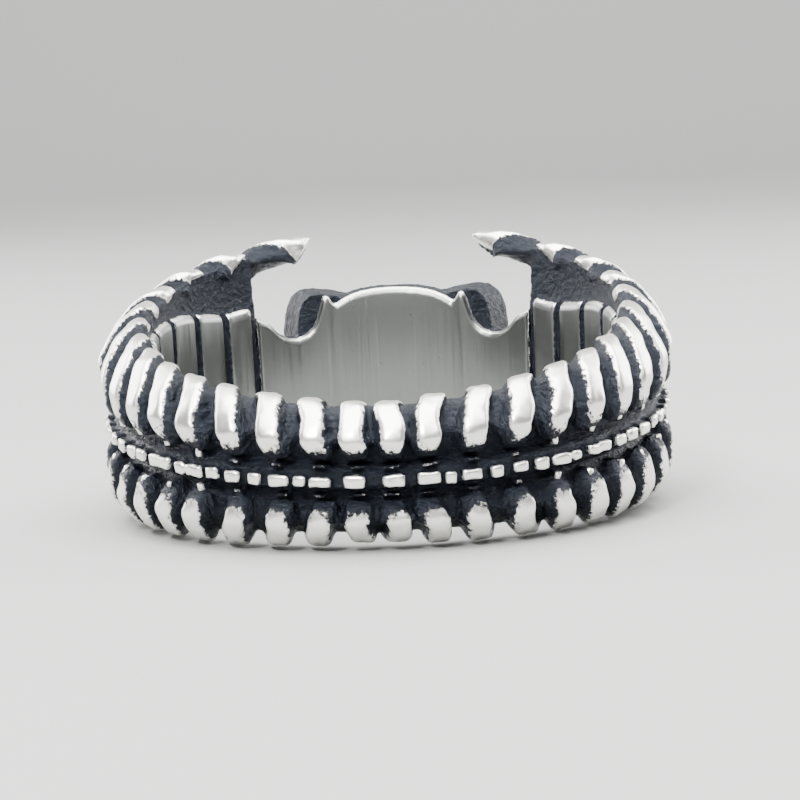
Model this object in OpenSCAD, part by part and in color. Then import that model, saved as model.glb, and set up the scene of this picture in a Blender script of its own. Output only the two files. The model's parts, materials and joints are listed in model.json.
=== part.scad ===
// Skull ring: one cast piece of silver. A spine runs round the back of the band, ribs
// curl up and down from it, and a skull sits on a plate at the front. The ring lies on
// its lower rib ends, with the front at +Y.
// Angles round the band are counted from the middle of the back.

/* [Size] */
// Diameter of the finger hole
bore_d = 19.8; // [18:0.1:21]
// Width of the band over the ribs, side to side
band_w = 25.2; // [24.8:0.1:26]
// Half the band's height over the rib ends, measured at the ring's middle
rim_h = 4.65; // [4.4:0.05:5]
// Angle at which the rib ends rise from the back towards the front
rim_angle = 8.6; // [8:0.1:9.5]

/* [Shank] */
// Depth of the valleys beside the spine, from the ribs' outer faces
valley_d = 0.85; // [0.5:0.05:1]
// Greatest half height of the smooth inner wall
liner_h = 3.5; // [3:0.1:3.8]
// Depth of the grooves between the bars of the inner wall
groove_d = 0.24; // [0.2:0.02:0.26]
// Width of the grooves between the bars of the inner wall
groove_w = 0.4; // [0.3:0.02:0.5]

/* [Spine] */
// Height of the spine's blocks along the finger hole
block_h = 0.56; // [0.4:0.02:0.7]

/* [Ribs] */
// Width of a rib's outer face at the back
rib_w_back = 0.98; // [0.8:0.02:1.1]
// Width of a rib's outer face next to the skull
rib_w_front = 1.45; // [1.2:0.05:1.6]
// Thickness of a rib
rib_t = 1.15; // [1.05:0.05:1.3]

/* [Front] */
// Thickness of the plate behind the skull
plate_t = 1.3; // [1:0.05:1.6]
// How far the face stands in front of the ring's middle
face_y = 15.6; // [14.6:0.1:16]
// Half the width of the skull
skull_w = 4.9; // [4.4:0.1:5.2]

/* [Hidden] */
silver = "#b9bab6";

bore_r = bore_d / 2;
rib_r = band_w / 2;
spine_r = rib_r - 0.2;
valley_r = rib_r - valley_d;
rim_slope = tan(rim_angle);
solid_r = bore_r - 0.5;

// The shank's walls end before the plate, and a low foot of the shank runs on into it
shank_end = 141;
foot_end = 144.5;
foot_h = 1.8;
last_groove = 139.6;
edge_drop = 0.75;
liner_t = 0.32;
liner_bevel = 0.13;

// The inner wall's upper edge at one side: angle from the back and greatest half height
LINER_TOP = [[100, 3.5], [112, 3.4], [124, 3.0], [132, 2.75], [137, 2.8], [141, 2.95]];

block_rise = 0.45;

// Half the length of the spine's blocks as angles
large_block = 1.9;
small_block = 1.2;

// One row for each rib, from the back to the front: angle of its foot, angle of its end
RIBS = [
    [3.4, 4.0], [10.3, 13.8], [18.6, 24.0], [27.8, 35.0], [37.0, 45.2], [45.6, 55.6], [54.2, 66.0],
    [63.0, 77.0], [73.0, 88.0], [85.0, 98.5], [98.0, 109.0], [112.0, 122.0], [124.0, 137.0], [135.0, 157.0]
];
last = len(RIBS) - 1;

// One row for each point of a rib's outer face, from the spine to the end: the share of the band's
// half height, the height that is added to it, the distance inside rib_r, and the share of the lean
RIB_PATH = [
    [0.00, 0.80, 0.55, 0.00], [0.00, 1.15, 0.18, 0.00], [0.60, 0.00, 0.00, 0.05],
    [0.81, 0.00, 0.50, 0.30], [1.00, 0.00, 1.60, 0.78], [0.97, 0.00, 2.45, 1.00]
];

// The lowest points of the ribs lie in one plane, on which the ring rests
crest = RIB_PATH[4];
rest_angle = atan(crest[0] * rim_slope * bore_r / (rib_r - crest[2]));
rest_h = crest[0] * rim_h * cos(rest_angle);
// Distance from the middle of the finger hole to the middle of the ring's length
middle_y = 1.55;

// A rib's section: the share of its width to one side, and the depth below its outer face
RIB_SECTION = [[-0.66, 1], [-0.5, 0.1], [0, 0], [0.5, 0.1], [0.66, 1]];

// The plate's upper edge as angle from the front and height: corner, notch, tab and hump
PLATE_TOP = [
    [39.0, 2.35], [36.4, 2.12], [33.1, 1.55], [27.2, 1.1], [22.5, 1.5], [20.3, 2.35], [19.2, 2.92], [17.9, 2.96],
    [16.6, 2.56], [11.0, 2.95], [6.0, 3.12], [0.0, 3.18]
];

// The skull's rows from the crown to the teeth: height, half width as a share, distance to the face
SKULL_ROWS = [
    [-5.9, 0.16, 11.6], [-5.6, 0.46, 12.7], [-5.1, 0.70, 13.8], [-4.3, 0.89, 14.8], [-3.4, 0.98, 15.3],
    [-2.6, 1.00, 15.6], [-2.0, 0.99, 15.7], [-1.4, 0.96, 15.4], [-0.5, 0.96, 15.2], [0.15, 0.93, 15.1],
    [0.6, 0.74, 14.9], [1.05, 0.62, 14.8], [2.05, 0.54, 14.4]
];
skull_cols = 14;

// Eye sockets, nose, cheeks and temples: side, height, distance, half width, half height, half depth
HOLLOWS = [
    [2.0, -0.98, 15.1, 1.35, 1.05, 1.75], [0.36, 0.28, 15.0, 0.34, 0.56, 0.9],
    [4.15, 1.0, 13.3, 1.1, 0.7, 1.5], [5.3, -1.3, 12.9, 0.8, 1.0, 1.3]
];

// The teeth: spacing, width and depth of the gaps, and the height at which they start
tooth_w = 0.78;
tooth_gap = 0.16;
tooth_depth = 0.4;
teeth_z = 0.98;

// The body between the plate and the skull: angle from the front, height of its top and of its foot
BACK_EDGE = [
    [27.5, 1.2, -2.4], [26.0, 2.1, -3.2], [22.5, 2.95, -3.9], [19.5, 3.05, -4.2], [16.0, 2.9, -4.5],
    [11.0, 2.65, -4.9], [0.0, 2.6, -5.2]
];
back_r = 12.2;

// The surface between two faces of equal point count, one closed loop after another
function tube_faces(rows, cols) = concat(
    [[for (j = [0 : cols - 1]) j]],
    [for (i = [0 : rows - 2], j = [0 : cols - 1], t = [0, 1])
        let (a = i * cols + j, b = i * cols + (j + 1) % cols, c = a + cols, d = b + cols)
        t == 0 ? [a, c, b] : [b, c, d]],
    [[for (j = [cols - 1 : -1 : 0]) (rows - 1) * cols + j]]
);

function polar(r, angle, z) = [r * sin(angle), -r * cos(angle), z];

// Half the height over the rib ends at an angle from the back
function rim_z(angle) = rim_h - rim_slope * bore_r * cos(angle);

// Half the height of the band's edge, which drops to a low foot inside the plate
function edge_z(angle) = abs(angle) > shank_end ? foot_h : rim_z(angle);

// Greatest half height of the inner wall at an angle from the back
function liner_z(angle) = lookup(abs(angle), LINER_TOP);

// The shank's section without ribs, its upper half: the smooth inner wall with its bevelled rim, the
// wall that carries the rib ends, the valley and the spine's back
function half_section(angle) = let (h = edge_z(angle), liner = min(h - edge_drop, liner_h, liner_z(angle))) [
    [solid_r, liner], [bore_r + liner_t, liner + liner_bevel],
    [bore_r + liner_t + 0.1, h - 0.7 * edge_drop], [valley_r - 0.65, h - edge_drop],
    [valley_r, 0.58 * h], [valley_r - 0.3, block_h + 0.1], [spine_r - block_rise, block_h / 2 + 0.06]
];

function full_section(angle) = let (s = half_section(angle), n = len(s)) concat(
    s, [for (i = [n - 1 : -1 : 0]) [s[i][0], -s[i][1]]]
);

module shank() {
    right = concat([for (rib = RIBS) rib[0]], [shank_end, foot_end]);
    angles = concat([for (i = [len(right) - 1 : -1 : 0]) -right[i]], right);
    rows = [for (a = angles) [for (p = full_section(a)) polar(p[0], a, p[1])]];
    polyhedron([for (row = rows) each row], tube_faces(len(rows), len(rows[0])), 10);
}

// A rib's outer face at one point of its path: radius and height
function path_point(rib, k) = let (p = RIB_PATH[k]) [
    rib_r - p[2],
    p[0] * rim_z(rib[0] + (rib[1] - rib[0]) * p[3]) + p[1]
];

function rib_ring(i, k) = let (
    rib = RIBS[i], n = len(RIB_PATH) - 1,
    p = path_point(rib, k),
    d = path_point(rib, min(k + 1, n)) - path_point(rib, max(k - 1, 0)),
    out = [d[1], -d[0]] / norm(d),
    angle = rib[0] + (rib[1] - rib[0]) * RIB_PATH[k][3],
    taper = i == last && k > 2 ? 1 - 0.12 * (k - 2) : 1,
    w = (rib_w_back + (rib_w_front - rib_w_back) * i / last) * taper,
    t = rib_t * (i == last && k > 2 ? 0.8 : 1)
) [for (s = RIB_SECTION)
    let (q = p - out * t * s[1], side = s[0] * w / q[0] * 180 / PI)
    polar(q[0], angle + side, q[1])];

module rib(i) {
    n = len(RIB_PATH);
    polyhedron([for (k = [0 : n - 1]) each rib_ring(i, k)], tube_faces(n, len(RIB_SECTION)), 10);
}

// A block of the spine between two angles
module block(from, to) {
    foot_r = spine_r - 4 * block_rise;
    ends = [for (a = [from, (from + to) / 2, to]) [
        polar(foot_r, a, -block_h / 2), polar(foot_r, a, block_h / 2),
        polar(spine_r, a, block_h / 2), polar(spine_r, a, -block_h / 2)
    ]];
    polyhedron([for (e = ends) each e], tube_faces(3, 4), 10);
}

// A large block at each rib and a small one between two ribs
module spine() {
    for (i = [0 : last]) {
        block(RIBS[i][0] - large_block, RIBS[i][0] + large_block);
        if (i > 1) {
            middle = (RIBS[i - 1][0] + RIBS[i][0]) / 2;
            block(middle - small_block, middle + small_block);
        }
    }
}

module grooves() {
    for (i = [0 : last]) {
        angle = i < last ? (RIBS[i][0] + RIBS[i + 1][0]) / 2 : last_groove;
        rotate([0, 0, angle - 90]) translate([solid_r - 0.2, -groove_w / 2, -liner_h - 1])
            cube([bore_r + groove_d - solid_r + 0.2, groove_w, 2 * liner_h + 2]);
    }
}

module plate() {
    n = len(PLATE_TOP);
    outline = concat(PLATE_TOP, [for (i = [n - 2 : -1 : 0]) [-PLATE_TOP[i][0], PLATE_TOP[i][1]]]);
    r = [solid_r, bore_r + plate_t];
    rows = [for (p = outline) [
        polar(r[0], 180 - p[0], -p[1]), polar(r[0], 180 - p[0], p[1]),
        polar(r[1], 180 - p[0], p[1]), polar(r[1], 180 - p[0], -p[1])
    ]];
    polyhedron([for (row = rows) each row], tube_faces(len(rows), 4), 10);
}

// The front of the face where a row is w wide to each side and reaches y in the middle
function face_y_at(x, w, y) = let (base = sqrt(pow(bore_r + 0.5, 2) - x * x))
    base + 0.2 + (y + face_y - 15.8 - base) * pow(max(1 - x * x / w / w, 0), 0.375);

module face() {
    rows = [for (row = SKULL_ROWS) let (z = row[0], w = row[1] * skull_w) concat(
        [for (j = [0 : skull_cols]) let (x = w * sin(90 - 180 * j / skull_cols)) [x, face_y_at(x, w, row[2]), z]],
        [[0, bore_r + 0.5, z]]
    )];
    teeth = SKULL_ROWS[len(SKULL_ROWS) - 1];
    difference() {
        polyhedron([for (row = rows) each row], tube_faces(len(rows), skull_cols + 2), 10);
        for (side = [-1, 1], h = HOLLOWS) translate([side * h[0], h[2], h[1]])
            scale([h[3], h[5], h[4]]) sphere(1, $fn = 10);
        for (i = [-2 : 2]) translate([i * tooth_w, face_y_at(i * tooth_w, teeth[1] * skull_w, teeth[2]), 0])
            translate([-tooth_gap / 2, -tooth_depth, teeth_z]) cube([tooth_gap, 2, 2]);
    }
}

module skull_back() {
    n = len(BACK_EDGE);
    outline = concat(BACK_EDGE, [for (i = [n - 2 : -1 : 0]) [-BACK_EDGE[i][0], BACK_EDGE[i][1], BACK_EDGE[i][2]]]);
    r = [bore_r + 0.4, back_r];
    rows = [for (p = outline) [
        polar(r[0], 180 - p[0], p[2]), polar(r[0], 180 - p[0], p[1]),
        polar(r[1], 180 - p[0], p[1]), polar(r[1], 180 - p[0], p[2])
    ]];
    polyhedron([for (row = rows) each row], tube_faces(len(rows), 4), 10);
}

// The cast body with a rough hole, brought to the band's exact width
module casting() {
    resize([2 * rib_r, 0, 0]) union() {
        difference() {
            shank();
            for (side = [0, 1]) mirror([side, 0, 0]) grooves();
        }
        for (side = [0, 1]) mirror([side, 0, 0]) {
            spine();
            for (row = [0, 1], i = [0 : last]) mirror([0, 0, row]) rib(i);
        }
        plate();
        skull_back();
        face();
    }
}

// The ring lies on its rib ends, and its box stands over the origin
module ring() {
    color(silver) translate([0, -middle_y, rest_h]) rotate([rest_angle, 0, 0]) difference() {
        casting();
        translate([0, 0, -10]) cylinder(r = bore_r, h = 20, $fn = 120);
    }
}

ring();
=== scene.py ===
import json
import math
import random

import bmesh
import bpy
from mathutils import Matrix, Vector


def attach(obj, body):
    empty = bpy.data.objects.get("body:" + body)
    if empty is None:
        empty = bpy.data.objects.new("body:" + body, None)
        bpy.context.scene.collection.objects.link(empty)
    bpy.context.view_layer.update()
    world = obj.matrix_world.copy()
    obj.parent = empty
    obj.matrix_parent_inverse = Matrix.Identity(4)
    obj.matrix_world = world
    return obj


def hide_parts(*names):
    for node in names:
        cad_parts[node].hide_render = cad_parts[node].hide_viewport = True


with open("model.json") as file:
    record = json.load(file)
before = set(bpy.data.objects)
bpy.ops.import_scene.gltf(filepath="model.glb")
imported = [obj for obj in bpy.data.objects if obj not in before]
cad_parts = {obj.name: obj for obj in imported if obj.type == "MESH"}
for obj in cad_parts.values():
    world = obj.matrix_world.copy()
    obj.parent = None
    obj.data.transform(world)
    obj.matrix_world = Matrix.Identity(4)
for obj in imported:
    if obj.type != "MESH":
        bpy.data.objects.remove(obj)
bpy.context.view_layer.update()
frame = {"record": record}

# The camera and the studio.
# The ring lies on a pale sweep of card, under one large soft panel and between two weaker ones. A small
# panel in front lights the back of the band, and a wide one lights the card that rises behind the ring.
MM = 0.001
finger_hole = frame["record"]["mounts"][0]
bore_r = finger_hole["dims"]["r_mm"]
hole_axis = Vector(finger_hole["axis"])
hole_tilt = math.atan2(-hole_axis.y, hole_axis.z)
# The ring's own frame: the middle of the finger hole, with +Z along it, in millimetres. All the ring's
# sizes are in it, and its angles are in degrees from the middle of the back
place = (
    Matrix.Translation(finger_hole["pos_m"])
    @ Matrix.Rotation(hole_tilt, 4, "X")
    @ Matrix.Scale(MM, 4)
)
# The camera's distance in millimetres, its angles in the ring's own frame, and where the middle of the
# ring falls in the picture
camera_distance = 110
camera_height = math.radians(14.35)
camera_side = math.radians(3.1)
camera_roll = math.radians(-2.7)
picture_px = 800
ring_middle_px = (387.4, 404.2)
lens_mm = 112.2
sensor_mm = 36

away = Vector((
    math.sin(camera_side) * math.cos(camera_height),
    -math.cos(camera_side) * math.cos(camera_height),
    math.sin(camera_height),
))
side = Vector((math.cos(camera_side), math.sin(camera_side), 0))
turned = Matrix((side, away.cross(side), away)).transposed()
camera_data = bpy.data.cameras.new("camera")
camera_data.lens = lens_mm
camera_data.sensor_width = sensor_mm
camera_data.shift_x = (picture_px / 2 - ring_middle_px[0]) / picture_px
camera_data.shift_y = (ring_middle_px[1] - picture_px / 2) / picture_px
camera_data.clip_start = 10 * MM
camera = bpy.data.objects.new("camera", camera_data)
bpy.context.scene.collection.objects.link(camera)
spot = place @ (away * camera_distance)
turn = place.to_3x3().normalized() @ turned @ Matrix.Rotation(camera_roll, 3, "Z")
camera.matrix_world = Matrix.Translation(spot) @ turn.to_4x4()
bpy.context.scene.camera = camera


def linear(hex_colour):
    """An sRGB hex colour as linear red, green, blue and alpha."""
    parts = [int(hex_colour[i:i + 2], 16) / 255 for i in (1, 3, 5)]
    return [c / 12.92 if c <= 0.04045 else ((c + 0.055) / 1.055) ** 2.4 for c in parts] + [1.0]


def panel(name, spot_mm, size_mm, watts, aim_mm=(0, 0, 5)):
    """A soft light panel that faces a point, which is the ring unless it is given."""
    light = bpy.data.lights.new(name, "AREA")
    light.shape = "RECTANGLE"
    light.size, light.size_y = size_mm[0] * MM, size_mm[1] * MM
    light.energy = watts
    lamp = bpy.data.objects.new(name, light)
    bpy.context.scene.collection.objects.link(lamp)
    towards = Vector(aim_mm) - Vector(spot_mm)
    faced = towards.to_track_quat("-Z", "Y").to_matrix().to_4x4()
    lamp.matrix_world = Matrix.Translation(Vector(spot_mm) * MM) @ faced


# Each panel's place, size and power, in millimetres and watts
panel("panel_above", (0, -30, 190), (240, 260), 2.5)
panel("panel_front", (-60, -210, 170), (44, 36), 1.0)
panel("panel_left", (-200, 130, 110), (220, 180), 1.1)
panel("panel_right", (200, 130, 110), (220, 180), 1.1)
panel("panel_wall", (0, 300, 500), (900, 200), 9, aim_mm=(0, 750, 150))

# The pale room around the panels, which the silver mirrors too
world = bpy.data.worlds.new("studio")
bpy.context.scene.world = world
world.use_nodes = True
background = world.node_tree.nodes["Background"].inputs
background["Color"].default_value = linear("#E8EAEC")
background["Strength"].default_value = 0.32

# The sweep of pale card that the ring lies on. It is flat under the ring and rises behind it in one curve.
sweep_half, sweep_front, sweep_back, sweep_r, sweep_top = 900, -900, 500, 250, 1500
sweep_steps = 10
sweep_arc = [math.radians(90 / sweep_steps * i) for i in range(sweep_steps + 1)]
sweep_line = [(sweep_front, 0)]
sweep_line += [(sweep_back + sweep_r * math.sin(a), sweep_r * (1 - math.cos(a))) for a in sweep_arc]
sweep_line += [(sweep_back + sweep_r, sweep_top)]
sweep_mesh = bpy.data.meshes.new("sweep")
sweep_mesh.from_pydata(
    [(x * MM, y * MM, z * MM) for y, z in sweep_line for x in (-sweep_half, sweep_half)], [],
    [(2 * i, 2 * i + 1, 2 * i + 3, 2 * i + 2) for i in range(len(sweep_line) - 1)],
)
sweep = bpy.data.objects.new("sweep", sweep_mesh)
bpy.context.scene.collection.objects.link(sweep)
sweep_mesh.shade_smooth()
# Matt card, sprayed in one flat grey, which gives soft shadows and almost no gloss
card = bpy.data.materials.new("matt_card")
card.use_nodes = True
card_finish = card.node_tree.nodes["Principled BSDF"].inputs
card_finish["Base Color"].default_value = linear("#999A98")
card_finish["Roughness"].default_value = 0.8
sweep_mesh.materials.append(card)

# The shank: the closed band that the finger goes through, cast in sterling silver.
# Its inner wall is a row of flat bars with grooves between them. Outside, a valley runs along
# each side of the spine, and the band's edges rise from the back towards the front.
rib_r = 12.56
valley_r = rib_r - 0.85
spine_r = rib_r - 0.2
rim_h, rim_slope = 4.65, math.tan(math.radians(8.6))
# The band ends in a low foot that is sunk into the plate
shank_end, foot_end, foot_h, foot_sunk = 140.7, 144.5, 1.8, 0.25
liner_t = 0.32
groove_d, groove_w, groove_edge, last_groove = 0.24, 0.36, 0.35, 139.7
angle_step = 1.5
# The inner wall's upper edge: angle and greatest half height
LINER_TOP = [
    (0, 3.5), (100, 3.5), (112, 3.4), (124, 3.0), (132, 2.75), (137, 2.8), (141, 2.95), (150, 2.95),
]
# Each rib by the angle of its foot and of its end. The inner wall's grooves lie between the feet
RIBS = [
    (3.4, 4.0), (10.3, 13.8), (18.6, 24.0), (27.8, 35.0), (37.0, 45.2), (45.6, 55.6), (54.2, 66.0),
    (63.0, 77.0), (73.0, 88.0), (85.0, 98.5), (98.0, 109.0), (112.0, 122.0), (124.0, 137.0),
    (135.0, 157.0),
]
last = len(RIBS) - 1


def polar(r, angle, z):
    """A point by its distance from the hole's axis, its angle from the back and its height."""
    return (r * math.sin(math.radians(angle)), -r * math.cos(math.radians(angle)), z)


def rim_z(angle):
    """The band's half height, which grows towards the front."""
    return rim_h - rim_slope * bore_r * math.cos(math.radians(angle))


def ramp(x, low, high):
    """0 below low, 1 above high, and a smooth rise between them."""
    t = min(max((x - low) / (high - low), 0), 1)
    return t * t * (3 - 2 * t)


def between(table, x):
    """The values of a table at x, on straight lines between its rows."""
    for low, high in zip(table, table[1:]):
        if x <= high[0]:
            t = (x - low[0]) / (high[0] - low[0])
            return [a + (b - a) * t for a, b in zip(low[1:], high[1:])]
    return list(table[-1][1:])


def mark(mesh, name, values):
    """Keeps a number, or a vector, for each point of a mesh under a name."""
    if isinstance(values[0], tuple):
        kept_vectors = mesh.attributes.new(name, "FLOAT_VECTOR", "POINT")
        kept_vectors.data.foreach_set("vector", [c for v in values for c in v])
    else:
        mesh.attributes.new(name, "FLOAT", "POINT").data.foreach_set("value", values)


def loft(name, rows, depths):
    """A closed body through equal loops of points, with each point's depth below a polished face."""
    n = len(rows[0])
    faces = [list(range(n))[::-1], [(len(rows) - 1) * n + j for j in range(n)]]
    for low in range(0, (len(rows) - 1) * n, n):
        high = low + n
        faces += [(low + j, low + (j + 1) % n, high + (j + 1) % n, high + j) for j in range(n)]
    mesh = bpy.data.meshes.new(name)
    mesh.from_pydata([p for row in rows for p in row], [], faces)
    mark(mesh, "wear", depths)
    turned_mesh = bmesh.new()
    turned_mesh.from_mesh(mesh)
    bmesh.ops.recalc_face_normals(turned_mesh, faces=turned_mesh.faces)
    turned_mesh.to_mesh(mesh)
    turned_mesh.free()
    body = bpy.data.objects.new(name, mesh)
    bpy.context.scene.collection.objects.link(body)
    return body


grooves = [(RIBS[i][0] + RIBS[i + 1][0]) / 2 for i in range(last)] + [last_groove]
half_groove = math.degrees(groove_w / 2 / bore_r)
angles = {0.0, shank_end, foot_end}
angles.update(angle_step * i for i in range(1, int(shank_end / angle_step) + 1))
for g in grooves:
    angles.update((g - half_groove, g + half_groove))
    angles.update((g - half_groove - groove_edge, g + half_groove + groove_edge))
angles = sorted({-a for a in angles} | angles)


def shank_section(angle):
    """The upper half of the band's section, as radius, height and depth below a polished face."""
    from_back = abs(angle)
    in_foot = from_back > shank_end
    h = foot_h if in_foot else rim_z(angle)
    liner = min(h - 0.75, between(LINER_TOP, from_back)[0])
    cut = max(1 - ramp(abs(from_back - g), half_groove, half_groove + groove_edge) for g in grooves)
    r = bore_r + groove_d * cut + (foot_sunk if in_foot else 0)
    worn = 0.6 * cut
    return [
        # Up a bar of the inner wall and over its rounded end
        (r, 0, worn),
        (r, liner - 0.28, worn),
        (r + 0.05, liner - 0.08, worn),
        (r + 0.16, liner + 0.03, worn),
        # Up the dark wall behind the bars to the rim
        (bore_r + liner_t, liner + 0.1, worn + 0.12),
        (bore_r + liner_t + 0.06, liner + 0.2, 0.6),
        (bore_r + liner_t + 0.1, h - 0.55, 0.6),
        (valley_r - 0.65, h - 0.75, 0.6),
        # Down the outside, through the valley to the spine
        (valley_r, 0.58 * h, 0.7),
        (valley_r - 0.1, 1.0, 0.7),
        (valley_r - 0.3, 0.66, 0.7),
        (spine_r - 0.45, 0.34, 0.5),
        (spine_r - 0.42, 0, 0.5),
    ]


shank_rows, shank_wear = [], []
for angle in angles:
    half = shank_section(angle)
    loop = half + [(r, -z, d) for r, z, d in half[-2:0:-1]]
    shank_rows.append([polar(r, angle, z) for r, z, d in loop])
    shank_wear += [d for r, z, d in loop]
shank = loft("shank", shank_rows, shank_wear)

# The ribs: claws that stand on the shank in two rows, fourteen a side above the spine and below it.
# Each starts beside the spine, runs up the band's outside and curls inwards over its edge. They are
# carved by hand in the wax, so no two have the same outline, and their outer faces are polished.
carver = random.Random(11)
# How far a rib wanders sideways from point to point, how much of that carries on to the next point, and
# the shares between which its width varies
WANDER, carry, UNEVEN = (-0.11, 0.11), 0.5, (0.86, 1.14)
# The path's points: share of the half height, added height, distance inside rib_r, how far the point has
# moved from the foot's angle to the end's, share of the width, and bulge away from the back
RIB_PATH = [
    (0.00, 0.80, 0.60, 0.00, 0.74, 0.00),
    (0.00, 1.12, 0.20, 0.00, 0.84, 0.00),
    (0.34, 0.45, 0.04, 0.02, 1.08, 0.04),
    (0.60, 0.00, 0.05, 0.05, 1.22, 0.12),
    (0.775, 0.00, 0.46, 0.20, 1.02, 0.08),
    (0.91, 0.00, 1.05, 0.45, 0.82, 0.00),
    (0.97, 0.00, 1.70, 0.74, 0.66, 0.00),
    (0.94, 0.00, 2.18, 0.94, 0.60, 0.00),
    (0.84, 0.00, 2.38, 1.00, 0.48, 0.00),
]
# Depth that is added at each point of the path, because the foot and the very tip stay dark
FADE = (0.5, 0.2, 0.02, 0, 0, 0, 0, 0, 0.06)
# What each point gains near the front, where the ends stay up, are polished all round and are broader:
# share of the half height, depth taken off again, and share of the width
FRONT_END = [(0, 0, 0)] * 5 + [(0, 0, 0.1), (0, 0.2, 0.13), (0.02, 0.55, 0.13), (0.09, 0.7, 0.09)]
front_start, front_full = 80, 112
# The two ribs next to the middle of the back are a little lower than the others
MIDDLE_LOW = (0.95, 0.985)
# A rib's width by the angle of its foot
RIB_WIDTHS = [
    (0, 1.08), (3.4, 1.1), (10.3, 1.32), (19, 1.26), (28, 1.22), (60, 1.16), (90, 1.22), (120, 1.3),
    (135, 1.3),
]
# The last rib narrows into a horn beside the plate: share of its width at each point of the path
HORN = (1, 1, 1, 1, 0.9, 0.78, 0.68, 0.56, 0.24)
# The right-hand ribs are narrower: by what share, and between which angles that sets in
right_narrower, narrow_start, narrow_full = 0.12, 15, 35
# A rib's root lies nearer the middle of the back than its face: by how much for each millimetre of depth
root_right, root_left = 0.24, 0.1

rib_points, rib_lines, rib_out, rib_width, rib_fade, rib_skew = [], [], [], [], [], []
for row in (1, -1):
    for turn_side in (1, -1):
        for i, (foot, end) in enumerate(RIBS):
            first = len(rib_points)
            path = []
            front_now = ramp(foot, front_start, front_full)
            low = MIDDLE_LOW[i] if i < len(MIDDLE_LOW) else 1
            for (share, added, inset, lean, width, bulge), (lift, polish, broad) in zip(RIB_PATH, FRONT_END):
                angle = foot + (end - foot) * lean
                z = (share + lift * front_now) * low * rim_z(angle) + added
                path.append((rib_r - inset, z, angle, width + broad * front_now, bulge, polish * front_now))
            shift = 0
            for k, (r, z, angle, width, bulge, polish) in enumerate(path):
                before, after = path[max(k - 1, 0)], path[min(k + 1, len(path) - 1)]
                along = Vector((after[0] - before[0], after[1] - before[1])).normalized()
                shift = carry * shift + carver.uniform(*WANDER)
                a = math.radians(angle)
                out_r, out_z = along.y, -along.x
                taper = HORN[k] if i == last else 1
                narrow = right_narrower * ramp(foot, narrow_start, narrow_full) * (turn_side > 0)
                w = between(RIB_WIDTHS, foot)[0] * taper * width * (1 - narrow)
                x, y, z_up = polar(r, angle + math.degrees((shift + bulge) / r), z)
                rib_points.append((turn_side * x, y, row * z_up))
                rib_out.append((turn_side * out_r * math.sin(a), -out_r * math.cos(a), row * out_z))
                rib_width.append(w * carver.uniform(*UNEVEN))
                rib_fade.append(FADE[k] - polish)
                root = root_right if turn_side > 0 else root_left
                back_way = Vector((-math.cos(a), -math.sin(a), 0)) * root
                rib_skew.append((turn_side * back_way.x, back_way.y, 0))
            rib_lines += [(j, j + 1) for j in range(first, len(rib_points) - 1)]
line_mesh = bpy.data.meshes.new("rib_lines")
line_mesh.from_pydata(rib_points, rib_lines, [])
mark(line_mesh, "out", rib_out)
mark(line_mesh, "skew", rib_skew)
mark(line_mesh, "width", rib_width)
mark(line_mesh, "fade", rib_fade)
ribs = bpy.data.objects.new("ribs", line_mesh)
bpy.context.scene.collection.objects.link(ribs)


def add(tree, kind, settings=None, **inputs):
    """Adds a node. Settings go on the node itself. The rest are values or links for its inputs, each
    called by the input's name with _ for a space, or by i and the input's number."""
    node = tree.nodes.new(kind)
    for name, value in (settings or {}).items():
        setattr(node, name, value)
    for name, value in inputs.items():
        key = int(name[1:]) if name[0] == "i" and name[1:].isdigit() else name.replace("_", " ")
        if isinstance(value, bpy.types.NodeSocket):
            tree.links.new(value, node.inputs[key])
        else:
            node.inputs[key].default_value = value
    return node


def start_tree(name, sizes):
    """A Geometry Nodes tree with a named input for each size, and what its first node gives out."""
    tree = bpy.data.node_groups.new(name, "GeometryNodeTree")
    tree.interface.new_socket("Geometry", in_out="INPUT", socket_type="NodeSocketGeometry")
    tree.interface.new_socket("Geometry", in_out="OUTPUT", socket_type="NodeSocketGeometry")
    for label, value in sizes.items():
        kind = "NodeSocketInt" if isinstance(value, int) else "NodeSocketFloat"
        tree.interface.new_socket(label, in_out="INPUT", socket_type=kind).default_value = value
    return tree, tree.nodes.new("NodeGroupInput").outputs


def end_tree(tree, geometry, material):
    """Makes real what is instanced, gives it its metal and ends the tree."""
    realized = add(tree, "GeometryNodeRealizeInstances", i0=geometry)
    dressed = add(tree, "GeometryNodeSetMaterial", i0=realized.outputs[0], Material=material)
    add(tree, "NodeGroupOutput", i0=dressed.outputs[0])


def harden(body):
    """Turns what a body's modifiers make into its plain mesh."""
    bpy.context.view_layer.update()
    evaluated = body.evaluated_get(bpy.context.evaluated_depsgraph_get())
    mesh = bpy.data.meshes.new_from_object(evaluated)
    body.modifiers.clear()
    body.data = mesh


def run_tree(body, tree, sizes):
    """Runs a tree on a body with these sizes."""
    modifier = body.modifiers.new(tree.name, "NODES")
    modifier.node_group = tree
    for item in tree.interface.items_tree:
        if item.in_out == "INPUT" and item.name in sizes:
            modifier[item.identifier] = sizes[item.name]
    harden(body)


# The one metal of the ring. The last section gives it its finish
silver = bpy.data.materials.new("oxidised_cast_silver")

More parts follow.
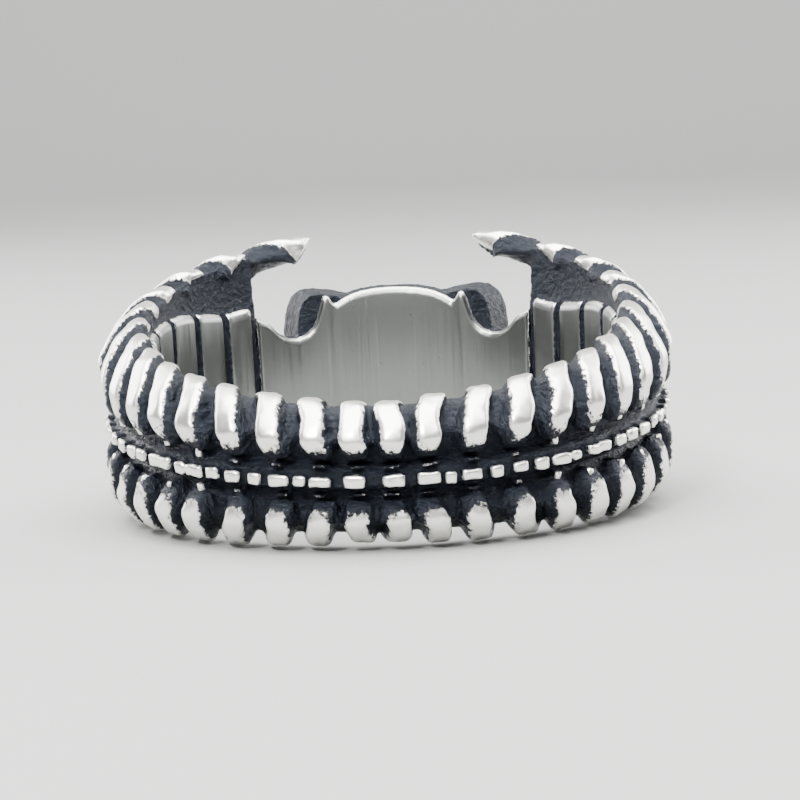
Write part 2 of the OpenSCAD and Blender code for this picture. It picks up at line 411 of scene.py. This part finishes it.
# One rib is a rounded bar that is swept along its line with its face outwards. The section's sizes are
# for a rib one millimetre wide. The carving leaves hollows of about 0.8 mm, which is 1.3 to a millimetre
RIB_SIZES = {
    "Points": 30, "Depth": 1.15, "Flare": 1.36, "Face": 0.94, "Corner": 0.26, "Carving": 0.16,
    "Carving_scale": 1.3,
}
rib_tree, given = start_tree("rib_sweep", RIB_SIZES)
lines = add(rib_tree, "GeometryNodeMeshToCurve", i0=given["Geometry"])
smooth = add(rib_tree, "GeometryNodeCurveSplineType", {"spline_type": "CATMULL_ROM"}, Curve=lines.outputs[0])
even = add(rib_tree, "GeometryNodeResampleCurve", Curve=smooth.outputs[0], Count=given["Points"])
out_way = add(rib_tree, "GeometryNodeInputNamedAttribute", {"data_type": "FLOAT_VECTOR"}, Name="out")
facing = add(
    rib_tree, "GeometryNodeSetCurveNormal", {"mode": "FREE"},
    Curve=even.outputs[0], Normal=out_way.outputs[0],
)
wide = add(rib_tree, "GeometryNodeInputNamedAttribute", {"data_type": "FLOAT"}, Name="width")
sized = add(rib_tree, "GeometryNodeSetCurveRadius", Curve=facing.outputs[0], Radius=wide.outputs[0])
bar = add(
    rib_tree, "GeometryNodeCurvePrimitiveQuadrilateral", {"mode": "TRAPEZOID"},
    Bottom_Width=given["Flare"], Top_Width=given["Face"], Offset=0.0, Height=given["Depth"],
)
rounded = add(
    rib_tree, "GeometryNodeFilletCurve", {"mode": "POLY"},
    Curve=bar.outputs[0], Radius=given["Corner"], Count=3,
)
fine_bar = add(rib_tree, "GeometryNodeResampleCurve", Curve=rounded.outputs[0], Count=40)
# The bar is turned so that its face lies on the line, and the depth below the face is kept as its wear
half_depth = add(rib_tree, "ShaderNodeMath", {"operation": "MULTIPLY"}, i0=given["Depth"], i1=-0.5)
drop = add(rib_tree, "ShaderNodeCombineXYZ", X=half_depth.outputs[0])
face_out = add(
    rib_tree, "GeometryNodeTransform", Geometry=fine_bar.outputs[0], Translation=drop.outputs[0],
    Rotation=(0, 0, math.radians(-90)),
)
at = add(rib_tree, "GeometryNodeInputPosition")
split = add(rib_tree, "ShaderNodeSeparateXYZ", i0=at.outputs[0])
below = add(rib_tree, "ShaderNodeMath", {"operation": "MULTIPLY"}, i0=split.outputs[0], i1=-1.0)
depth_kept = add(
    rib_tree, "GeometryNodeStoreNamedAttribute", {"data_type": "FLOAT", "domain": "POINT"},
    Geometry=face_out.outputs[0], Name="wear", Value=below.outputs[0],
)
swept = add(
    rib_tree, "GeometryNodeCurveToMesh",
    Curve=sized.outputs[0], Profile_Curve=depth_kept.outputs[0], Fill_Caps=True,
)
# The root is pushed towards the back, the surface is carved, and the foot's and tip's depth is added
lean_way = add(rib_tree, "GeometryNodeInputNamedAttribute", {"data_type": "FLOAT_VECTOR"}, Name="skew")
depth_here = add(rib_tree, "GeometryNodeInputNamedAttribute", {"data_type": "FLOAT"}, Name="wear")
pushed = add(
    rib_tree, "ShaderNodeVectorMath", {"operation": "SCALE"},
    i0=lean_way.outputs[0], Scale=depth_here.outputs[0],
)
leaned = add(rib_tree, "GeometryNodeSetPosition", Geometry=swept.outputs[0], Offset=pushed.outputs[0])
grain = add(rib_tree, "ShaderNodeTexNoise", Scale=given["Carving_scale"], Detail=1.0)
centred = add(
    rib_tree, "ShaderNodeVectorMath", {"operation": "SUBTRACT"},
    i0=grain.outputs["Color"], i1=(0.5, 0.5, 0.5),
)
amount = add(
    rib_tree, "ShaderNodeVectorMath", {"operation": "SCALE"}, i0=centred.outputs[0], Scale=given["Carving"]
)
carved = add(rib_tree, "GeometryNodeSetPosition", Geometry=leaned.outputs[0], Offset=amount.outputs[0])
worn_now = add(rib_tree, "GeometryNodeInputNamedAttribute", {"data_type": "FLOAT"}, Name="wear")
faded = add(rib_tree, "GeometryNodeInputNamedAttribute", {"data_type": "FLOAT"}, Name="fade")
total = add(rib_tree, "ShaderNodeMath", {"operation": "ADD"}, i0=worn_now.outputs[0], i1=faded.outputs[0])
kept = add(
    rib_tree, "GeometryNodeStoreNamedAttribute", {"data_type": "FLOAT", "domain": "POINT"},
    Geometry=carved.outputs[0], Name="wear", Value=total.outputs[0],
)
end_tree(rib_tree, kept.outputs[0], silver)
run_tree(ribs, rib_tree, RIB_SIZES)

# The spine: a row of small square bosses along the middle of the band's outside, one at each rib
# and one between. Their faces are polished and the gaps between them are dark. Above and below
# every large one, a small nub stands beside the rib's foot. All are cast in one with the band.
carver = random.Random(5)
boss_h, boss_t = 0.43, 0.7
# Each boss by the angles at which it starts and ends
BOSSES = [
    (1.7, 5.6), (8.2, 12.3), (13.2, 15.3), (16.5, 20.2), (22.0, 24.5), (26.7, 29.7), (31.4, 34.3),
    (35.5, 39.4), (40.0, 42.1), (44.4, 50.5), (52.7, 55.4), (56.7, 59.8), (61.9, 65.4), (67.5, 70.5),
    (72.4, 75.6), (77.8, 80.4), (83.0, 86.8), (89.6, 92.4), (96.0, 100.0), (103.2, 106.2),
    (110.0, 114.0), (116.8, 119.8), (122.2, 126.0), (128.2, 131.2), (133.4, 137.0),
]
# The nubs by their angle: height above the spine's middle, width and height
NUBS = [
    (0, 0.52, 0.6, 0.1), (10, 0.6, 0.6, 0.1), (20, 0.6, 0.5, 0.12), (27, 0.58, 0.4, 0.14),
    (36.3, 0.67, 0.24, 0.26), (44.3, 0.86, 0.26, 0.27), (52, 0.95, 0.28, 0.28), (60, 1.0, 0.28, 0.28),
    (120, 1.0, 0.3, 0.3),
]
nub_t = 0.7
ribs_with_nubs = 12
# The nubs at the back are sunk deeper than those at the sides, and darker
nub_sunk, nub_raised, raise_start, raise_full = 0.22, 0.12, 30, 60
nub_dark, dark_full, dark_end = 0.16, 28, 36
# How far bosses and nubs sit off their height, and nubs off their rib's angle, and the shares between
# which their sizes vary
OFF_HEIGHT, OFF_ANGLE = (-0.03, 0.03), (-0.5, 0.5)
BOSS_LENGTH, BOSS_HEIGHT, NUB_WIDTH = (0.94, 1.0), (0.9, 1.1), (0.8, 1.2)

points, sizes, facings, fades = [], [], [], []
for turn_side in (1, -1):
    for start, end in BOSSES:
        angle = turn_side * (start + end) / 2
        length = 2 * spine_r * math.sin(math.radians((end - start) / 2))
        points.append(polar(spine_r - boss_t / 2, angle, carver.uniform(*OFF_HEIGHT)))
        sizes.append((boss_t, length * carver.uniform(*BOSS_LENGTH), boss_h * carver.uniform(*BOSS_HEIGHT)))
        facings.append(polar(1, angle, 0))
        fades.append(0)
    for foot, end in RIBS[:ribs_with_nubs]:
        for row in (1, -1):
            angle = turn_side * (foot + carver.uniform(*OFF_ANGLE))
            nub_z, nub_w, nub_h = between(NUBS, foot)
            inset = nub_sunk - nub_raised * ramp(foot, raise_start, raise_full)
            height = row * (nub_z + carver.uniform(*OFF_HEIGHT))
            points.append(polar(spine_r - inset - nub_t / 2, angle, height))
            sizes.append((nub_t, nub_w * carver.uniform(*NUB_WIDTH), nub_h))
            facings.append(polar(1, angle, 0))
            fades.append(nub_dark * (1 - ramp(foot, dark_full, dark_end)))
dots = bpy.data.meshes.new("spine")
dots.from_pydata(points, [], [])
mark(dots, "size", sizes)
mark(dots, "facing", facings)
mark(dots, "fade", fades)
spine = bpy.data.objects.new("spine", dots)
bpy.context.scene.collection.objects.link(spine)

# One boss is a rounded cube, set on each point at its size and with its face outwards. The chips come
# 1.9 to a millimetre, about as wide as a boss
BOSS_SIZES = {"Squareness": 0.45, "Chipping": 0.2, "Chip_scale": 1.9}
# The cube is cut a little large, because the rounding draws it in
cube_w = 1.06
boss_tree, given = start_tree("boss_row", BOSS_SIZES)
cube = add(
    boss_tree, "GeometryNodeMeshCube",
    Size=(cube_w, cube_w, cube_w), Vertices_X=2, Vertices_Y=2, Vertices_Z=2,
)
block = add(
    boss_tree, "GeometryNodeSubdivisionSurface",
    Mesh=cube.outputs[0], Level=3, Edge_Crease=given["Squareness"],
)
size = add(boss_tree, "GeometryNodeInputNamedAttribute", {"data_type": "FLOAT_VECTOR"}, Name="size")
facing = add(boss_tree, "GeometryNodeInputNamedAttribute", {"data_type": "FLOAT_VECTOR"}, Name="facing")
turn_to = add(
    boss_tree, "FunctionNodeAxesToRotation", {"primary_axis": "X", "secondary_axis": "Z"},
    Primary_Axis=facing.outputs[0], Secondary_Axis=(0, 0, 1),
)
here = add(boss_tree, "GeometryNodeInputPosition")
across = add(boss_tree, "ShaderNodeSeparateXYZ", i0=here.outputs[0])
sunk = add(boss_tree, "ShaderNodeMapRange", Value=across.outputs[0], i1=0.5, i2=-0.5, i3=0.0, i4=boss_t)
marked = add(
    boss_tree, "GeometryNodeStoreNamedAttribute", {"data_type": "FLOAT", "domain": "POINT"},
    Geometry=block.outputs[0], Name="wear", Value=sunk.outputs[0],
)
cloud = add(boss_tree, "GeometryNodeMeshToPoints", i0=given["Geometry"])
row_of = add(
    boss_tree, "GeometryNodeInstanceOnPoints", Points=cloud.outputs[0], Instance=marked.outputs[0],
    Rotation=turn_to.outputs[0], Scale=size.outputs[0],
)
single = add(boss_tree, "GeometryNodeRealizeInstances", i0=row_of.outputs[0])
grain = add(boss_tree, "ShaderNodeTexNoise", Scale=given["Chip_scale"], Detail=2.0)
centred = add(
    boss_tree, "ShaderNodeVectorMath", {"operation": "SUBTRACT"},
    i0=grain.outputs["Color"], i1=(0.5, 0.5, 0.5),
)
amount = add(
    boss_tree, "ShaderNodeVectorMath", {"operation": "SCALE"}, i0=centred.outputs[0], Scale=given["Chipping"]
)
chipped = add(boss_tree, "GeometryNodeSetPosition", Geometry=single.outputs[0], Offset=amount.outputs[0])
worn_now = add(boss_tree, "GeometryNodeInputNamedAttribute", {"data_type": "FLOAT"}, Name="wear")
faded = add(boss_tree, "GeometryNodeInputNamedAttribute", {"data_type": "FLOAT"}, Name="fade")
total = add(boss_tree, "ShaderNodeMath", {"operation": "ADD"}, i0=worn_now.outputs[0], i1=faded.outputs[0])
kept = add(
    boss_tree, "GeometryNodeStoreNamedAttribute", {"data_type": "FLOAT", "domain": "POINT"},
    Geometry=chipped.outputs[0], Name="wear", Value=total.outputs[0],
)
end_tree(boss_tree, kept.outputs[0], silver)
run_tree(spine, boss_tree, BOSS_SIZES)

# The plate: the smooth wall that closes the finger hole behind the skull, cast in one with the band.
# Its edges have a low hump in the middle, a pointed tab at each end of it, a notch and a square corner.
# Its inner face is polished like the bars, and its back is dark.
plate_t, plate_bevel = 0.95, 0.28
plate_step, plate_steps = 0.4, 98
# The upper edge, as angle from the front and height
PLATE_TOP = [
    (0.0, 3.18), (3.0, 3.17), (6.0, 3.13), (9.0, 3.05), (11.0, 2.96), (13.5, 2.78), (16.0, 2.54),
    (16.6, 2.55), (17.3, 2.75), (17.9, 2.93), (18.6, 2.98), (19.2, 2.92), (19.8, 2.7), (20.3, 2.35),
    (21.3, 1.85), (22.5, 1.5), (24.5, 1.2), (27.2, 1.07), (29.5, 1.12), (31.5, 1.3), (33.2, 1.56),
    (35.0, 1.93), (36.4, 2.12), (39.2, 2.35),
]
# The lower edge mirrors the upper one, but its notches end this far from the middle
plate_low = 2.2

plate_rows, plate_wear = [], []
for step in range(-plate_steps, plate_steps + 1):
    angle = step * plate_step
    top = between(PLATE_TOP, abs(angle))[0]
    low = max(top, plate_low)
    loop = [
        # Up the inner face and over the upper edge
        (bore_r, -low + plate_bevel, 0),
        (bore_r, 0, 0),
        (bore_r, top - plate_bevel, 0),
        (bore_r + 0.1, top - 0.07, 0),
        (bore_r + 0.24, top, 0),
        (bore_r + 0.4, top, 0.4),
        # Down the back
        (bore_r + plate_t, top, 0.8),
        (bore_r + plate_t, 0, 1),
        (bore_r + plate_t, -low, 0.8),
        # In under the lower edge
        (bore_r + 0.4, -low, 0.4),
        (bore_r + 0.24, -low, 0),
        (bore_r + 0.1, -low + 0.07, 0),
    ]
    plate_rows.append([polar(r, 180 - angle, z) for r, z, d in loop])
    plate_wear += [d for r, z, d in loop]
plate = loft("plate", plate_rows, plate_wear)

# The skull: the head that stands on the plate, upside down to the band, with its crown below and its
# teeth above. It is cast hollow-eyed in one with the plate. Its deep places are left dark.
skull_w = 4.9
skull_low, skull_h = -5.9, 7.95
levels, columns = 90, 96
# Its rows by height: share of the half width, and how far the face reaches from the hole's axis
SKULL_ROWS = [
    (-5.9, 0.16, 11.6), (-5.6, 0.46, 12.7), (-5.1, 0.70, 13.8), (-4.3, 0.89, 14.8), (-3.4, 0.98, 15.3),
    (-2.6, 1.00, 15.56), (-2.0, 0.99, 15.6), (-1.4, 0.96, 15.4), (-0.5, 0.96, 15.2), (0.15, 0.93, 15.1),
    (0.6, 0.76, 14.95), (1.05, 0.64, 14.9), (1.55, 0.58, 14.75), (2.05, 0.54, 14.3),
]
# The face is rooted inside the plate, at face_r, and stands out from there by face_out at its edges.
# Its section is fuller than an ellipse, whose power would be 0.5
face_r, face_out, face_power = bore_r + 0.5, 0.2, 0.375
# Eye sockets, nose, cheeks and temples: side, height, distance, half width, half height, half depth, slant
HOLLOWS = [
    (2.0, -0.95, 15.15, 1.32, 1.0, 1.8, 0.2),
    (0.34, 0.3, 15.0, 0.36, 0.62, 0.9, -0.35),
    (4.15, 1.0, 13.3, 1.1, 0.7, 1.5, 0),
    (5.3, -1.3, 12.9, 0.8, 1.0, 1.3, 0),
]
hollow_power = 2.4
# A hollow's depth counts this many times as depth below the polish, so that it is dark throughout
hollow_dark = 1.5
# Brows, cheekbones, the dip between the brows and the arch that the teeth stand in: side, height,
# half width, half height and rise
RIDGES = [
    (1.9, -2.3, 1.7, 0.6, 0.1),
    (3.25, 0.2, 1.0, 0.5, 0.3),
    (0, -1.9, 0.7, 0.7, -0.15),
    (0.9, 0.95, 1.6, 0.3, 0.12),
]
ridge_falloff = 2
# Teeth: width, half width and depth of the gaps, the height at which they start, and how softly
tooth_w, tooth_gap, tooth_depth, teeth_z, teeth_fade = 0.78, 0.16, 0.4, 0.98, 0.1
# The body between the plate and the skull: angle from the front, height of its top and of its foot
BACK_EDGE = [
    (0.0, 2.6, -5.2), (11.0, 2.65, -4.9), (16.0, 2.9, -4.5), (19.5, 3.05, -4.2), (22.5, 3.02, -3.9),
    (24.5, 2.75, -3.6), (25.7, 2.3, -3.2), (26.3, 1.8, -2.8), (26.5, 1.3, -2.4),
]
back_r, back_root_r, back_bevel_r, back_bevel_z = 12.2, bore_r + 0.4, 0.25, 0.2
back_step, back_steps = 0.5, 53


def curve_through(table, x):
    """The values of a table at x, on smooth curves through its rows."""
    i = max(k for k in range(len(table) - 1) if k == 0 or x >= table[k][0])
    before, low = table[max(i - 1, 0)], table[i]
    high, after = table[i + 1], table[min(i + 2, len(table) - 1)]
    span = high[0] - low[0]
    t = (x - low[0]) / span
    values = []
    for k in range(1, len(low)):
        slope_low = (high[k] - before[k]) / (high[0] - before[0]) * span
        slope_high = (after[k] - low[k]) / (after[0] - low[0]) * span
        start = low[k] * (2 * t ** 3 - 3 * t ** 2 + 1) + slope_low * (t ** 3 - 2 * t ** 2 + t)
        values.append(start + high[k] * (3 * t ** 2 - 2 * t ** 3) + slope_high * (t ** 3 - t ** 2))
    return values


face_rows, face_wear = [], []
for step in range(levels + 1):
    z = skull_low + skull_h * step / levels
    share, reach = curve_through(SKULL_ROWS, z)
    w = share * skull_w
    row = []
    for j in range(columns + 1):
        x = w * math.sin(math.radians(90 - 180 * j / columns))
        base = math.sqrt(face_r ** 2 - x * x)
        round_share = max(1 - (x / w) ** 2, 0) ** face_power
        y = base + face_out + (reach - face_out - base) * round_share
        for ridge_x, ridge_z, ridge_w, ridge_h, rise in RIDGES:
            d = ((abs(x) - ridge_x) / ridge_w) ** 2 + ((z - ridge_z) / ridge_h) ** 2
            y += rise * math.exp(-ridge_falloff * d)
        smooth_y = y
        for hollow_x, hollow_z, hollow_y, hollow_w, hollow_h, hollow_d, slant in HOLLOWS:
            across = abs((abs(x) - hollow_x) / hollow_w)
            along = abs((z - hollow_z - slant * (abs(x) - hollow_x)) / hollow_h)
            inside = 1 - across ** hollow_power - along ** hollow_power
            if inside > 0:
                y = min(y, hollow_y - hollow_d * math.sqrt(inside))
        if z > teeth_z - teeth_fade:
            off = abs(x - tooth_w * round(x / tooth_w))
            gap = 1 - ramp(off, tooth_gap * 0.3, tooth_gap)
            y -= tooth_depth * gap * ramp(z, teeth_z - teeth_fade, teeth_z + teeth_fade)
        y = max(y, base + face_out / 2)
        row.append((x, y, z))
        face_wear.append(min((smooth_y - y) * hollow_dark, 1))
    row.append((0, face_r, z))
    face_wear.append(1)
    face_rows.append(row)
face = loft("face", face_rows, face_wear)

back_rows = []
for step in range(-back_steps, back_steps + 1):
    top, low = between(BACK_EDGE, abs(step) * back_step)
    loop = [
        (back_root_r, low), (back_root_r, top), (back_r - back_bevel_r, top),
        (back_r, top - back_bevel_z), (back_r, low + back_bevel_z), (back_r - back_bevel_r, low),
    ]
    back_rows.append([polar(r, 180 - step * back_step, z) for r, z in loop])
back = loft("back", back_rows, [1.0] * sum(len(row) for row in back_rows))

# The casting: the pieces of the wax are melted together before the ring is cast, so every joint has
# a small fillet. The low places keep the pitted skin of the cast.
# The grid that the wax is melted on, less than a fifth of a groove's width
voxel = 0.065
# The cast skin's pits come 3.6 to a millimetre, so each is about 0.3 mm wide, and start where the
# depth below a polished face passes these two values
SKIN_SIZES = {"Pits": 0.16, "Pit_scale": 3.6}
pits_start, pits_full = 0.1, 0.4


def melt(name, bodies, triangles):
    """Joins closed bodies into one, with soft joints and the depth of the bodies' nearest points."""
    source = bmesh.new()
    source.verts.layers.float.new("wear")
    for body in bodies:
        source.from_mesh(body.data)
    mesh = bpy.data.meshes.new(name + "_wax")
    source.to_mesh(mesh)
    source.free()
    # The melting loses each point's depth, so the wax stays until the cast has taken its depths from it
    wax = bpy.data.objects.new(name + "_wax", mesh)
    cast = bpy.data.objects.new(name, mesh.copy())
    bpy.context.scene.collection.objects.link(wax)
    bpy.context.scene.collection.objects.link(cast)
    melted = cast.modifiers.new("melt", "REMESH")
    melted.mode = "VOXEL"
    melted.voxel_size = voxel
    tree, given = start_tree("skin_" + name, SKIN_SIZES)
    info = add(tree, "GeometryNodeObjectInfo", {"transform_space": "ORIGINAL"}, Object=wax)
    depth = add(tree, "GeometryNodeInputNamedAttribute", {"data_type": "FLOAT"}, Name="wear")
    nearest = add(
        tree, "GeometryNodeSampleNearestSurface", {"data_type": "FLOAT"},
        Mesh=info.outputs["Geometry"], Value=depth.outputs[0],
    )
    stored = add(
        tree, "GeometryNodeStoreNamedAttribute", {"data_type": "FLOAT", "domain": "POINT"},
        Geometry=given["Geometry"], Name="wear", Value=nearest.outputs["Value"],
    )
    low = add(
        tree, "ShaderNodeMapRange",
        Value=nearest.outputs["Value"], i1=pits_start, i2=pits_full, i3=0.0, i4=1.0,
    )
    grain = add(tree, "ShaderNodeTexNoise", Scale=given["Pit_scale"], Detail=3.0, Roughness=0.6)
    signed = add(tree, "ShaderNodeMath", {"operation": "SUBTRACT"}, i0=grain.outputs["Fac"], i1=0.5)
    scaled = add(tree, "ShaderNodeMath", {"operation": "MULTIPLY"}, i0=signed.outputs[0], i1=given["Pits"])
    masked = add(tree, "ShaderNodeMath", {"operation": "MULTIPLY"}, i0=scaled.outputs[0], i1=low.outputs[0])
    normal = add(tree, "GeometryNodeInputNormal")
    push = add(
        tree, "ShaderNodeVectorMath", {"operation": "SCALE"}, i0=normal.outputs[0], Scale=masked.outputs[0]
    )
    pitted = add(tree, "GeometryNodeSetPosition", Geometry=stored.outputs[0], Offset=push.outputs[0])
    end_tree(tree, pitted.outputs[0], silver)
    run_tree(cast, tree, SKIN_SIZES)
    all_triangles = sum(len(p.vertices) - 2 for p in cast.data.polygons)
    fewer = cast.modifiers.new("fewer", "DECIMATE")
    fewer.ratio = min(triangles / all_triangles, 1)
    harden(cast)
    for used in [wax] + bodies:
        bpy.data.objects.remove(used)
    cast.data.shade_smooth()
    cast.data.transform(place)
    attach(cast, "root")
    return cast


band = melt("band", [shank, ribs, spine], triangles=195000)
melt("front", [plate, back, face], triangles=120000)
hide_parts("ring")

# The finish: sterling silver, lost-wax cast, darkened all over with liver of sulphur and polished back
# on a buffing wheel, which reaches only the high places. Those are soft mirrors of warm white, and the low
# places are a glossy blue-black with a grainy skin. The inner wall is greyer, partly for its duller finish
# and partly as painted shade, since it lies in the band's shade.
polished_white, inner_satin_and_shade_grey, sulphur_black = "#F6F4EF", "#888A88", "#151A24"
polished_rough, black_rough = 0.34, 0.22
# The sulphide layer isn't a bare metal, so it takes part of the metallic look away
black_metallic = 0.6
# The grain of a real cast is 0.1 mm or less, which is too fine to show, so it is drawn as 4.5 grains to
# a millimetre, about 0.2 mm each. The ragged line where the wheel stopped follows the same grain
grains_per_mm = 4.5
grain_depth = 0.24 * MM
# The depth below the polished face at which the black starts and is full, and how ragged that line is
black_start, black_full, ragged_depth = 0.1, 0.16, 0.56
# The distances from the bore's wall at which the inner wall's grey, partly painted shade, ends and is full
grey_end, grey_full = 0.16, 0.08

silver.use_nodes = True
nodes = silver.node_tree
nodes.nodes.clear()
# The patterns are laid out in the ring's own frame, in millimetres
coords = add(nodes, "ShaderNodeTexCoord")
hole_middle = Matrix.Rotation(-hole_tilt, 3, "X") @ Vector(finger_hole["pos_m"])
own = add(
    nodes, "ShaderNodeMapping", Vector=coords.outputs["Object"],
    Location=-hole_middle / MM, Rotation=(-hole_tilt, 0, 0), Scale=(1 / MM, 1 / MM, 1 / MM),
)
depth = add(nodes, "ShaderNodeAttribute", {"attribute_name": "wear"})
ragged = add(
    nodes, "ShaderNodeTexNoise", Vector=own.outputs[0], Scale=grains_per_mm, Detail=5.0, Roughness=0.75
)
shifted = add(
    nodes, "ShaderNodeMath", {"operation": "MULTIPLY_ADD"},
    i0=ragged.outputs["Fac"], i1=ragged_depth, i2=-ragged_depth / 2,
)
edge = add(nodes, "ShaderNodeMath", {"operation": "ADD"}, i0=depth.outputs["Fac"], i1=shifted.outputs[0])
dark = add(
    nodes, "ShaderNodeMapRange", Value=edge.outputs[0], i1=black_start, i2=black_full, i3=0.0, i4=1.0
)
flat = add(nodes, "ShaderNodeVectorMath", {"operation": "MULTIPLY"}, i0=own.outputs[0], i1=(1, 1, 0))
radius = add(nodes, "ShaderNodeVectorMath", {"operation": "LENGTH"}, i0=flat.outputs[0])
inside = add(
    nodes, "ShaderNodeMapRange", Value=radius.outputs["Value"],
    i1=bore_r + grey_end, i2=bore_r + grey_full, i3=0.0, i4=1.0,
)
# A Mix node's two colours are its inputs 6 and 7, and the mixed colour is its output 2
# The inner wall's grey is partly its duller finish and partly painted shade, darker than the metal itself is
polished_or_inner_shade = add(
    nodes, "ShaderNodeMix", {"data_type": "RGBA"},
    i0=inside.outputs[0], i6=linear(polished_white), i7=linear(inner_satin_and_shade_grey),
)
tone = add(
    nodes, "ShaderNodeMix", {"data_type": "RGBA"},
    i0=dark.outputs[0], i6=polished_or_inner_shade.outputs[2], i7=linear(sulphur_black),
)
gloss = add(
    nodes, "ShaderNodeMapRange", Value=dark.outputs[0], i1=0.0, i2=1.0, i3=polished_rough, i4=black_rough
)
bare = add(nodes, "ShaderNodeMapRange", Value=dark.outputs[0], i1=0.0, i2=1.0, i3=1.0, i4=black_metallic)
skin = add(
    nodes, "ShaderNodeTexNoise", Vector=own.outputs[0], Scale=grains_per_mm, Detail=4.0, Roughness=0.65
)
grainy = add(
    nodes, "ShaderNodeMath", {"operation": "MULTIPLY"}, i0=skin.outputs["Fac"], i1=dark.outputs[0]
)
bump = add(nodes, "ShaderNodeBump", Height=grainy.outputs[0], Strength=1.0, Distance=grain_depth)
metal = add(
    nodes, "ShaderNodeBsdfPrincipled", Base_Color=tone.outputs[2], Metallic=bare.outputs[0],
    Roughness=gloss.outputs[0], Normal=bump.outputs[0],
)
add(nodes, "ShaderNodeOutputMaterial", Surface=metal.outputs[0])
